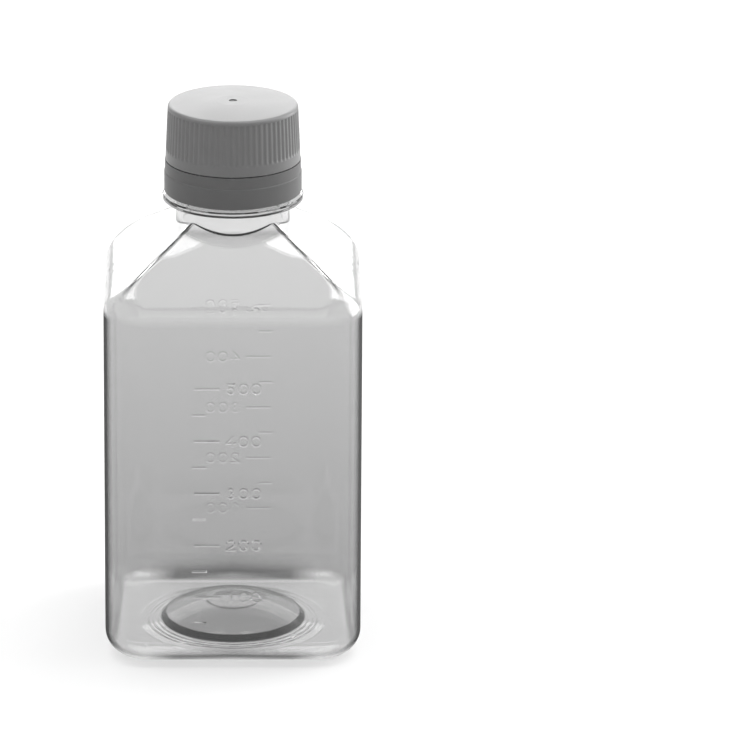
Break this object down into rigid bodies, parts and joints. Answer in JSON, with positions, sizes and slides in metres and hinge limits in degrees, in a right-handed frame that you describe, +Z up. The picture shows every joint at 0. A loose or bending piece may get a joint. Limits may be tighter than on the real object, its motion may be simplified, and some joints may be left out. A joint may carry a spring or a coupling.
{
  "type": "square media bottle with tamper-evident screw cap",
  "caption": "Clear square laboratory media bottle with raised volume marks, push-up base and a ribbed screw cap over a tamper band.",
  "frame": {"origin": "centre of the base, on the surface that the bottle stands on", "axes": "+Z up along the neck's axis; -Y and +Y are the two graduated faces, -X and +X the plain ones"},
  "size_m": [0.079, 0.0794, 0.1706],
  "materials": {
    "clear_pet": "clear, blow moulded",
    "cap_grey": "satin, injection moulded",
    "band_grey": "satin, injection moulded",
    "liner_foam": "foamed"
  },
  "bodies": {
    "bottle": {"bottle": "clear_pet", "tamper_band": "band_grey"},
    "liner": {"sealing_liner": "liner_foam"},
    "cap": {"cap": "cap_grey"}
  },
  "joints": [
    {"name": "cap_rise", "type": "slide", "parent": "bottle", "child": "liner", "axis": [0, 0, 1], "range_m": [0, 0.01695]},
    {"name": "cap_turn", "type": "hinge", "parent": "liner", "child": "cap", "pos_m": [0, 0, 0.1524], "axis": [0, 0, 1], "range_deg": [0, 1440]}
  ],
  "couplings": [
    {"joint": "cap_rise", "follows": "cap_turn", "m_per_rad": 0.0006737}
  ]
}
